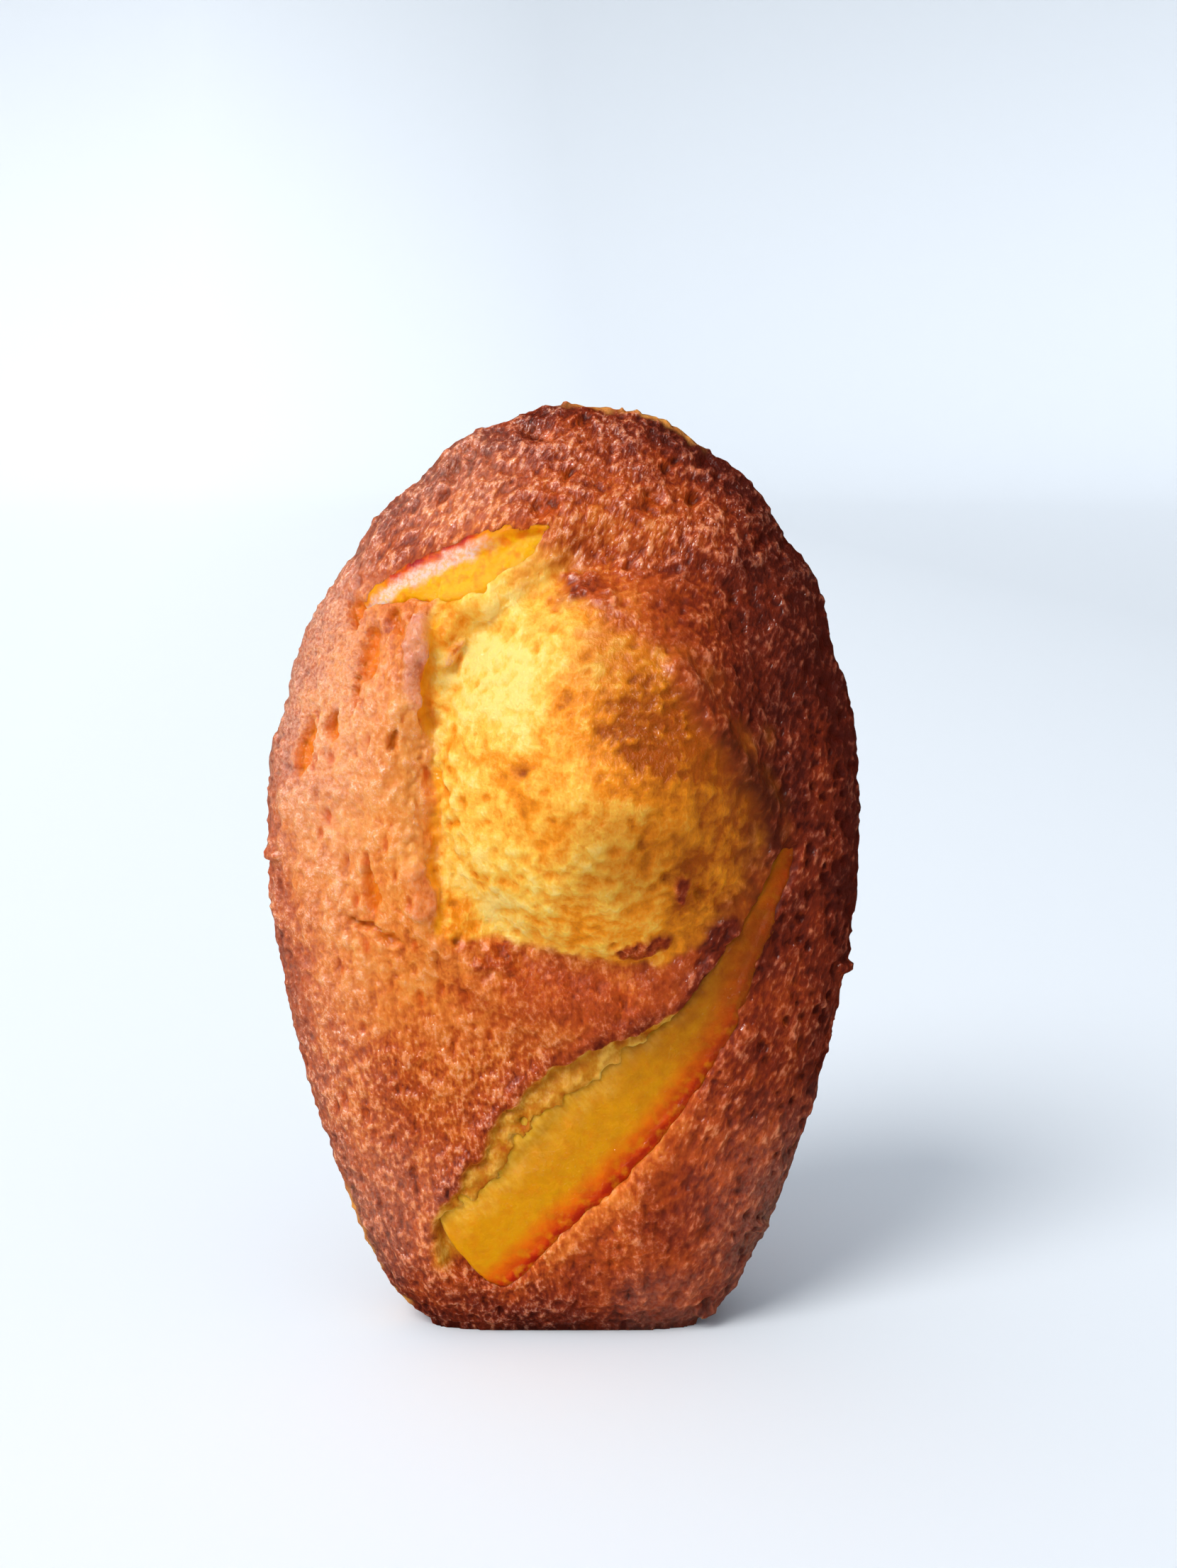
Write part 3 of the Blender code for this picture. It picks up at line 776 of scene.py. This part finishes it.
def storeBrowning(mesh, points, area):
    look, x, up, wander, top, right = cakeBrowning, area.x, area.up, area.wander, area.top, area.right
    strayX, front = x + wander, area.front
    brown = look["crust"] + layered(points, look["crustGrain"]) + patches(x, up, look["crustPatches"])
    brown += look["rim"] * fading(area.rimAway, 0.5, 5.0)
    brown += look["foot"] * fading(up, 1.0, 15.0) * (1 - 0.5 * right)
    brown += (look["right"] + look["rightUpper"] * smooth(up, 26.0, 42.0)) * smooth(x, 2.0, 17.0)
    brown += look["rightRim"] * smooth(x, 17.0, 21.0) * smooth(up, 50.0, 56.0)
    # a painted orange glow in the crust beside the lower rind
    brown += look["glowBesideRind"] * fading(area.rindAway, 0.5, 3.0) * fading(up, 16.0, 26.0)
    brown += look["lip"] * stroke(x, up, cakeForm["lip"]) + look["toast"] * area.toast
    brown += look["ridge"] * area.ridge + look["tornEdge"] * area.overTorn * (1 - area.torn)
    backRim = look["backRim"] + look["backRimRight"] * smooth(x, 2.0, 17.0)
    back = look["back"] + layered(points, look["backGrain"]) + fading(area.rimAway, 0.5, 7.0) * backRim
    storeMasks(mesh, browned=brown * front + back * (1 - front))

    baked = look["crumb"] + look["crumbAcross"] * smooth(x, -3.0, 6.0) + look["crumbHole"] * area.hole
    baked += look["crumbRight"] * smooth(x + 0.35 * (up - 48), 4.0, 12.0)
    baked += look["crumbFoot"] * fading(up, 34.0, 41.0) * smooth(x, -4.0, 4.0)
    baked += look["crumbFarRight"] * smooth(x, 7.5, 9.5)
    baked += patches(x + 2 * wander, up + 2 * area.drift, look["saddle"])
    baked += patches(strayX, up, look["crumbStreaks"]) + patches(x, up, look["crumbPatches"])
    # painted shade: the crumb darkens on the lower right of the hump and below the saddle's top
    shaded = band(x, (-3.0, 4.0), (8.0, 13.0)) * band(up, (36.5, 41.0), (44.0, 49.0))
    storeMasks(mesh, baked=baked, shaded=(shaded + patches(x, up, look["shadePatches"])) * area.crumb)

    # pale golden edges, low on the left and at the very top
    edgeAway = area.rimAway + layered(points, look["goldFray"])
    gold = fading(edgeAway, 0.3, 1.3) * fading(x, -9.5, -6.5) * fading(up, 10.0, 14.0)
    gold += fading(edgeAway, 0.1, 0.9) * band(x, (-2.0, 4.0), (10.0, 12.0)) * smooth(up, 69.0, 72.0)
    storeMasks(mesh, gold=gold * smooth(up, 1.0, 2.5) * smooth(area.facing, -0.3, 0.05))

    # sugar frost with a painted sheen of pinkish glints, on the left, the flap and the low right
    frosted = patches(x, up, look["frostAndSheenPatches"]) + look["frostAndSheenLeft"] * smooth(-x, 12.0, 20.0)
    frosted += look["frostAndSheenLowRight"] * smooth(x + 2 * wander, 8.0, 20.0) * fading(up, 8.0, 24.0)
    frosted += look["frostAndSheenFlap"] * area.flap
    storeMasks(mesh, frosted=frosted * area.crust * (1 - strongest(area.slit, 0.8 * area.pit)))
    # painted glints: pale flecks on the raised grain, strongest at the top and on the left
    dust = look["dust"] + look["dustTop"] * top * fading(x, 0.0, 10.0) + look["dustLowLeft"] * area.lowLeft
    dust += look["dustLeft"] * smooth(-x, 14.0, 20.0) + look["dustFlap"] * area.flap
    dust += patches(x, up, look["dustPatches"])
    dust *= 1 - 0.6 * smooth(x, 6.0, 14.0) * (1 - top)
    storeMasks(mesh, dust=dust * area.crust * front * (1 - strongest(area.slit, area.pit)))


def storeSurface(mesh, area):
    # what the material needs to know besides the browning
    x, up, crumb, top, right = area.x, area.up, area.crumb, area.top, area.right
    crumbMatte = cakeBrowning["crumbMatte"] * (1 - 0.8 * blob(x, up, *cakeBrowning["wetPatch"]))
    crumbMatte += patches(x, up, cakeBrowning["mattePatches"])
    peelMatte = 0.9 * fading(np.abs(area.peelIn), 0.6, 1.2) * area.front
    matte = strongest(crumbMatte * crumb, 0.7 * area.torn, 1.3 * (1 - area.calm), peelMatte)
    # the 0.15 lift lightens the right of the torn crumb, painted light where the crust edge above shades it
    tornHeight = area.torn * (area.tornGrain + 0.15 * smooth(x, 1.0, 4.0))
    height = area.crustGrain + 0.4 * area.lumps + area.crumbGrain + tornHeight
    rough = strongest(top, 0.8 * right, area.lowLeft) * (1 - 0.4 * area.poreBand) * (1 - 0.3 * crumb)
    rough = strongest(rough, (0.75 + 0.2 * area.leftFine) * area.front, 0.7 * area.torn, 0.4 * area.skin)
    rough = strongest(rough, 0.9 * area.flap, 0.8 * area.toast) * area.skin + 0.5 * (1 - area.skin)
    fine = strongest(crumb, area.leftMid * (0.6 + 0.4 * area.leftFine), 0.6 * area.torn, 1 - area.front)
    grooveGlow = fading(area.grooveAway, *cakeForm["groove"]["glowWall"]) * area.front * (1 - area.flap)
    storeMasks(
        mesh, crumb=crumb, torn=area.torn, matte=matte, raised=0.5 + 1.4 * height, rough=rough, fine=fine,
        pit=strongest(area.pit, area.hole * (1 - crumb), area.slit), leftward=(1 - top) * (1 - right),
        glow=strongest(grooveGlow, 0.35 * area.slit),
        flapTop=strongest(area.flap, 0.25 * area.lip * (1 - area.groove), 0.7 * area.lump))


def dressCake(cake):
    # the relief and its colours come from fields worked out at every point of the mesh
    mesh = cake.data
    points, normals = readSurface(mesh)
    area = findAreas(points, normals)
    addGrain(points, area)
    addCracks(points, area)
    points = raiseRelief(mesh, points, normals, area)
    storeBrowning(mesh, points, area)
    storeSurface(mesh, area)


def crustDepth(x, up):
    # how far out the smooth front of the cake lies
    inward = (0.0, leanCos, -leanSin)
    starts = worldPlaces(x, up, np.full(len(x), 60.0)).tolist()
    ways = [smoothFront.ray_cast(start, inward)[3] for start in starts]
    return np.array([60.0 - (60.0 if way is None else way / mm) for way in ways])


cake = shapeCake()
smoothFront = BVHTree.FromPolygons(
    [point.co for point in cake.data.vertices], [face.vertices for face in cake.data.polygons])
print("cake remeshed:", sum(len(face.vertices) - 2 for face in cake.data.polygons), "triangles")
dressCake(cake)
pickOnly(cake)
bpy.ops.object.shade_smooth()
print("cake relief done")

# colours by how browned or how high a place is, then the grains with their turn and their sizes
crustLook = {
    "browning": [
        (0.0, tone(240, 160, 74)), (0.28, tone(224, 124, 40)), (0.5, tone(184, 76, 18)),
        (0.75, tone(128, 40, 14)), (1.0, tone(78, 22, 12)),
    ],
    # a painted highlight on the raised crests of the grain
    "crestHighlight": tone(236, 158, 118), "crestHighlightShare": 0.42,
    "crestHighlightFrom": [(0.62, 0.0), (0.95, 1.0)], "crestHighlightFades": [(0.45, 1.0), (0.8, 0.35)],
    "pits": [(0.35, tone(214, 84, 4)), (0.95, tone(84, 18, 6))], "pitShare": 0.85,
    # sugar frost with a painted pinkish sheen
    "sugarSheen": tone(236, 182, 152), "sugarSheenSize": 0.3, "sugarSheenSpots": [(0.38, 0.35), (0.62, 1.0)],
    # pale pinkish flecks that paint glints on the peaks of the grain
    "dust": tone(248, 204, 182), "dustSize": 0.17,
    "dustSpots": [(0.50, 0.0), (0.60, 1.0)], "dustFrom": [(0.45, 0.0), (0.75, 1.0)],
    "gold": tone(224, 150, 70),
    "torn": [(0.15, tone(186, 90, 4)), (0.5, tone(198, 126, 20)), (0.85, tone(220, 166, 66))],
    "crumb": [
        (0.0, tone(252, 210, 116)), (0.2, tone(250, 190, 74)), (0.5, tone(240, 144, 20)), (1.0, tone(172, 80, 6)),
    ],
    # the tint of the painted shade over the crumb
    "shadeTint": (0.72, 0.66, 0.50),
    "glow": tone(255, 164, 18), "glowShare": 0.85,
    # pinkish crust skin, with a painted sheen on the raised grain of the flap
    "skin": tone(214, 136, 108), "skinFrom": [(0.3, 0.15), (0.8, 0.85)],
    "uprightGrain": (-10.0, (0.36, 0.4, 0.6)),
    "leaningGrain": (24.0, (0.36, 0.45, 0.8)),
    "fineGrain": (-6.0, (0.26, 0.3, 0.34), 3.0),
    "cloudSize": 2.2, "crumbCloudSize": 1.6,
    "inBrowning": {"cloud": 0.35, "grain": -0.9, "height": -0.4},
    "inCrumb": {"cloud": 0.4, "height": -1.0, "grain": -0.6},
    "grainInPeaks": 1.6, "grainInCrests": 2.2, "grainInTorn": 1.2,
    "roughness": [(0.35, 0.45), (0.65, 0.65)], "roughSize": 0.3,
    "gloss": [(0.35, 0.2), (0.7, 1.0)],
    "bumps": (0.20 * mm, 0.36 * mm),
    "sockets": {
        "Subsurface Weight": 0.7, "Subsurface Radius": (1.0, 0.5, 0.2), "Subsurface Scale": 0.8 * mm,
        "Specular IOR Level": 0.1, "Coat Roughness": 0.12,
    },
}


def crustMaterial():
    look = crustLook
    material, tree, shader = newMaterial("goldenCrust")
    place = addNode(tree, "ShaderNodeTexCoord").outputs["Object"]
    raised = mask(tree, "raised")
    height = centred(tree, raised)
    upright, leaning = (strandNoise(tree, place, *look[name]) for name in ("uprightGrain", "leaningGrain"))
    crinkle = blendColour(tree, mask(tree, "leftward"), leaning, upright)
    crinkle = blendColour(tree, mask(tree, "fine"), crinkle, strandNoise(tree, place, *look["fineGrain"]))
    crinkle = times(tree, centred(tree, crinkle), mask(tree, "rough"))

    def uneven(value, cloudSize, shares):
        # a mask stirred by soft clouds, by the height and by the grain
        cloud = centred(tree, fineNoise(tree, place, cloudSize, 3.0))
        parts = {"cloud": cloud, "grain": crinkle, "height": height}
        for name, amount in shares.items():
            value = calc(tree, "MULTIPLY_ADD", parts[name], amount, value)
        return value

    browned = uneven(mask(tree, "browned"), look["cloudSize"], look["inBrowning"])
    colour = ramp(tree, browned, look["browning"])
    peak = calc(tree, "MULTIPLY_ADD", crinkle, look["grainInPeaks"], raised)
    # a painted highlight on the raised crests of the grain, fading as the crust browns
    crestHighlight = ramp(tree, calc(tree, "MULTIPLY_ADD", crinkle, look["grainInCrests"], raised), look["crestHighlightFrom"])
    crestHighlight = times(tree, times(tree, crestHighlight, look["crestHighlightShare"]), ramp(tree, browned, look["crestHighlightFades"]))
    colour = blendColour(tree, crestHighlight, colour, look["crestHighlight"])
    pit = times(tree, mask(tree, "pit"), look["pitShare"])
    colour = blendColour(tree, pit, colour, ramp(tree, browned, look["pits"]))
    # sugar frost with a painted pinkish sheen, in fine spots
    sugarSheen = ramp(tree, fineNoise(tree, place, look["sugarSheenSize"], 3.0), look["sugarSheenSpots"])
    colour = blendColour(tree, times(tree, mask(tree, "frosted"), sugarSheen), colour, look["sugarSheen"])
    # painted glints: pale flecks on the peaks of the grain
    speck = ramp(tree, fineNoise(tree, place, look["dustSize"], 2.0, 0.6), look["dustSpots"])
    dust = times(tree, ramp(tree, peak, look["dustFrom"]), mask(tree, "dust"))
    colour = blendColour(tree, times(tree, dust, speck), colour, look["dust"])
    colour = blendColour(tree, mask(tree, "gold"), colour, look["gold"])
    tornHeight = calc(tree, "MULTIPLY_ADD", crinkle, look["grainInTorn"], raised)
    colour = blendColour(tree, mask(tree, "torn"), colour, ramp(tree, tornHeight, look["torn"]))
    baked = uneven(mask(tree, "baked"), look["crumbCloudSize"], look["inCrumb"])
    crumb = ramp(tree, baked, look["crumb"])
    # painted shade multiplied over the crumb where it is shaded
    crumb = blendColour(tree, mask(tree, "shaded"), crumb, look["shadeTint"], "MULTIPLY")
    colour = blendColour(tree, mask(tree, "crumb"), colour, crumb)
    colour = blendColour(tree, times(tree, mask(tree, "glow"), look["glowShare"]), colour, look["glow"])
    # the tops of the flap, lip and lump turn pinkish on their peaks, partly the crust's own colour and partly a
    # painted sheen
    skin = times(tree, ramp(tree, peak, look["skinFrom"]), mask(tree, "flapTop"))
    tree.links.new(blendColour(tree, skin, colour, look["skin"]), shader.inputs["Base Color"])

    roughness = ramp(tree, fineNoise(tree, place, look["roughSize"], 2.0), look["roughness"])
    gloss = calc(tree, "SUBTRACT", 1.0, mask(tree, "matte"))
    gloss = calc(tree, "MULTIPLY", ramp(tree, peak, look["gloss"]), gloss, clamp=True)
    tree.links.new(roughness, shader.inputs["Roughness"])
    tree.links.new(gloss, shader.inputs["Coat Weight"])
    setSockets(shader, look["sockets"])
    addBumps(tree, shader, crinkle, look["bumps"])
    return material


cake.data.materials.append(crustMaterial())
print("crust material done")

# the outer line of each strip is its rind, the inner line its flesh side; both run the same way
peelForm = {
    "voxel": 0.22,
    "soften": {"before": 12, "after": 3},
    "grain": [(0.16, 3.0, 5.0), (0.06, 0.9, 9.0, -38.0, (1.0, 1.0, 2.5))],
    "rindHeight": 0.14,
    "rindGrain": [(1.0, 1.6, 7.0)],
    "pithFray": [(0.14, 1.1, 19.0, -38.0, (1.0, 1.0, 2.0))],
    "peel_long": {
        "centre": (-49.4, 62.9),
        "outer": [
            (-7.2, 3.2), (-4.9, 4.8), (-2.3, 7.5), (0.0, 10.1), (2.7, 12.5), (5.0, 15.0), (7.3, 17.5),
            (9.6, 20.6), (11.8, 24.0), (13.6, 27.2), (14.9, 31.4), (16.0, 34.5), (17.2, 36.8), (18.3, 38.8),
            (19.3, 41.3), (19.8, 43.5),
        ],
        "inner": [
            (-11.4, 8.6), (-10.3, 11.2), (-7.8, 12.6), (-5.5, 14.6), (-3.8, 17.4), (-2.3, 20.0), (-0.2, 21.2),
            (2.7, 23.5), (5.5, 26.0), (8.5, 28.0), (11.6, 32.0), (14.2, 35.6), (16.2, 39.0), (17.2, 41.6),
            (18.4, 43.8),
        ],
        "tucks": (1.0, 0.8),
        "rindWidth": 3.0,
        "ownGrain": [],
        "sinks": [(0.35, 33.0, 38.0), (0.25, 38.0, 42.0)],
    },
    "peel_short": {
        "centre": (22.6, -0.4),
        "outer": [
            (-16.3, 61.6), (-14.6, 63.4), (-12.5, 64.6), (-9.8, 66.0), (-7.5, 67.1), (-4.7, 67.8), (-1.0, 68.2),
        ],
        "inner": [
            (-16.1, 61.2), (-12.5, 61.7), (-9.8, 61.8), (-7.5, 62.1), (-5.0, 63.6), (-2.1, 65.6), (-0.8, 67.4),
        ],
        "tucks": (0.9, 0.5),
        "rindWidth": 1.5,
        "ownGrain": [(0.18, 1.1, 15.0), (0.14, 0.6, 17.0)],
        "sinks": [],
        "frostStart": [(0.3, 0.7, 35.0)],
        "frostEnd": [(0.6, 1.1, 33.0)],
        "frostWidth": 1.7,
    },
}


def edgeReach(turn, line, centre):
    # how far a line lies from the centre of the bend, seen along each direction
    turns = np.array([math.atan2(up - centre[1], x - centre[0]) for x, up in line])
    reaches = np.array([math.dist((x, up), centre) for x, up in line])
    order = np.argsort(turns)
    return np.interp(turn, turns[order], reaches[order])


def fitPeel(points, form):
    # widens or narrows the strip to its two lines, at the depth of the crust there
    x, up, out = planePlaces(points)
    centre = form["centre"]
    turn, reach = np.arctan2(up - centre[1], x - centre[0]), np.hypot(x - centre[0], up - centre[1])
    cuts = np.linspace(turn.min(), turn.max(), 31)
    slices = [reach[(turn >= low) & (turn <= high)] for low, high in zip(cuts, cuts[1:])]
    middles = 0.5 * (cuts[1:] + cuts[:-1])
    low = np.interp(turn, middles, [part.min() for part in slices])
    high = np.interp(turn, middles, [part.max() for part in slices])
    inner = edgeReach(turn, form["inner"], centre) - form["tucks"][0]
    outer = edgeReach(turn, form["outer"], centre) + form["tucks"][1]
    share = (reach - low) / np.maximum(high - low, 0.1)
    reach = inner + share * (outer - inner)
    newX, newUp = centre[0] + reach * np.cos(turn), centre[1] + reach * np.sin(turn)
    return worldPlaces(newX, newUp, out + crustDepth(newX, newUp) - crustDepth(x, up)), share


def shapePeel(node, name):
    form = peelForm[node]
    peel = mergedCopy(node, name)
    applyModifier(peel, "REMESH", mode="VOXEL", voxel_size=peelForm["voxel"] * mm)
    applyModifier(peel, "SMOOTH", factor=0.5, iterations=peelForm["soften"]["before"])
    mesh = peel.data
    points, share = fitPeel(readSurface(mesh)[0], form)
    writePoints(mesh, points)
    applyModifier(peel, "SMOOTH", factor=0.5, iterations=peelForm["soften"]["after"])
    points, normals = readSurface(mesh)
    x, up, _ = planePlaces(points)
    rindAway = nearLine(x, up, form["outer"])[0]
    relief = layered(points, peelForm["grain"] + form["ownGrain"])
    relief += peelForm["rindHeight"] * fading(rindAway, 0.2, 0.7) * (1 + layered(points, peelForm["rindGrain"]))
    for depth, low, high in form["sinks"]:
        relief -= depth * smooth(up, low, high)
    front = smooth(-normals[:, 1], 0.35, 0.8)
    points = points + normals * (front * relief * mm)[:, None]
    writePoints(mesh, points)

    zest, frost, filmed = 1 - rindAway / form["rindWidth"], np.zeros(len(x)), np.zeros(len(x))
    if node == "peel_long":
        # its upper end darkens under a thin film
        filmed = 0.16 * smooth(up, 8.0, 18.0) + 0.84 * smooth(up, 18.0, 34.0)
        filmed *= 1 - 0.3 * smooth(up, 34.0, 42.0)
    else:
        # palest red in the middle of its upper edge, and frosted with sugar just below that
        zest *= 1 - 0.5 * strongest(fading(x, -15.0, -13.0), smooth(x, -8.0, -5.5))
        frost = smooth(rindAway + layered(points, form["frostStart"]), 0.2, 0.7) * fading(x, -7.5, -4.5)
        frost *= smooth(form["frostWidth"] - rindAway + layered(points, form["frostEnd"]), 0.0, 0.4)
    pith = fading(share + layered(points, peelForm["pithFray"]), 0.12, 0.38)
    storeMasks(mesh, zest=zest, pith=pith, frost=frost, filmed=filmed)
    pickOnly(peel)
    bpy.ops.object.shade_smooth()
    return peel


peelLook = {
    "peel_long": {
        "flesh": tone(217, 147, 2), "orange": tone(230, 110, 4), "rind": tone(206, 66, 4),
        "edge": tone(172, 28, 4), "pith": tone(236, 178, 60), "patch": tone(218, 132, 2),
    },
    "peel_short": {
        "flesh": tone(252, 176, 6), "orange": tone(246, 130, 4), "rind": tone(204, 56, 24),
        "edge": tone(168, 20, 24), "pith": tone(250, 176, 30), "patch": tone(240, 110, 4),
    },
    "zestStops": {"flesh": 0.15, "orange": 0.55, "rind": 0.85, "edge": 0.97},
    "film": tone(136, 62, 8), "filmShare": 0.85,
    "wobbleSize": 1.2, "wobbleInZest": 0.35, "wobbleInFilm": 0.6,
    "patchSize": 1.0, "patches": [(0.48, 0.0), (0.68, 0.7)],
    "fibreTurn": -38.0, "fibreSizes": (0.35, 0.4, 1.2), "fibres": [(0.35, 0.25), (0.65, 0.9)],
    "frost": tone(240, 204, 188), "frostSize": 0.3, "frostSpots": [(0.38, 0.35), (0.6, 1.0)],
    "bumpSize": 0.4, "bumps": (0.10 * mm, 0.30 * mm),
    "sockets": {
        "Roughness": 0.45, "Subsurface Weight": 0.7, "Subsurface Radius": (1.0, 0.45, 0.10),
        "Subsurface Scale": 1.2 * mm, "Specular IOR Level": 0.06, "Coat Weight": 0.25, "Coat Roughness": 0.08,
    },
}


def peelMaterial(name, node):
    look, tones = peelLook, peelLook[node]
    material, tree, shader = newMaterial(name)
    place = addNode(tree, "ShaderNodeTexCoord").outputs["Object"]
    wobble = centred(tree, fineNoise(tree, place, look["wobbleSize"], 3.0))
    zest = calc(tree, "MULTIPLY_ADD", wobble, look["wobbleInZest"], mask(tree, "zest"))
    colour = ramp(tree, zest, [(stop, tones[part]) for part, stop in look["zestStops"].items()])
    patch = ramp(tree, fineNoise(tree, place, look["patchSize"], 3.0), look["patches"])
    colour = blendColour(tree, patch, colour, tones["patch"])
    fibre = ramp(tree, strandNoise(tree, place, look["fibreTurn"], look["fibreSizes"]), look["fibres"])
    colour = blendColour(tree, times(tree, mask(tree, "pith"), fibre), colour, tones["pith"])
    frosted = ramp(tree, fineNoise(tree, place, look["frostSize"], 3.0), look["frostSpots"])
    colour = blendColour(tree, times(tree, mask(tree, "frost"), frosted), colour, look["frost"])
    film = times(tree, mask(tree, "filmed"), look["filmShare"])
    film = calc(tree, "MULTIPLY_ADD", wobble, look["wobbleInFilm"], film, clamp=True)
    tree.links.new(blendColour(tree, film, colour, look["film"]), shader.inputs["Base Color"])
    setSockets(shader, look["sockets"])
    addBumps(tree, shader, fineNoise(tree, place, look["bumpSize"], 3.0, 0.6), look["bumps"])
    return material


longPeel = shapePeel("peel_long", "candiedPeelLong")
shortPeel = shapePeel("peel_short", "candiedPeelShort")
for peel, node in ((longPeel, "peel_long"), (shortPeel, "peel_short")):
    peel.data.materials.append(peelMaterial(peel.name, node))
print("peels done:", len(longPeel.data.polygons), len(shortPeel.data.polygons))


def floorMaterial():
    material, tree, shader = newMaterial("paperFloor")
    place = addNode(tree, "ShaderNodeTexCoord").outputs["Object"]
    axes = addNode(tree, "ShaderNodeSeparateXYZ", {"Vector": place})
    # the paper darkens towards the right and a little towards the back, a painted falloff of light, and darkens as
    # it rises into the wall, painted shade
    along = calc(tree, "ADD", axes.outputs["X"], times(tree, axes.outputs["Y"], 0.15))
    across = addNode(tree, "ShaderNodeMapRange", {"Value": along, "From Min": -0.08, "From Max": 0.30})
    colour = ramp(tree, across.outputs["Result"], [(0.0, stageShape["tone"]), (1.0, stageShape["shadedFarTone"])])
    rise = addNode(tree, "ShaderNodeMapRange", {"Value": axes.outputs["Z"], "From Min": 0.0, "From Max": 0.5})
    shade = blendColour(tree, rise.outputs["Result"], (1.0, 1.0, 1.0), (stageShape["wallShade"],) * 3)
    tree.links.new(blendColour(tree, 1.0, colour, shade, "MULTIPLY"), shader.inputs["Base Color"])
    shader.inputs["Roughness"].default_value = 0.85
    shader.inputs["Specular IOR Level"].default_value = 0.1
    return material


floor.data.materials.append(floorMaterial())

standsFor = [
    (cake, "cake", "crust"), (longPeel, "peel_long", "candied_peel"), (shortPeel, "peel_short", "candied_peel"),
]
for piece, node, slotName in standsFor:
    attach(piece, "root")
    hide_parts(node)

print("all pieces placed")
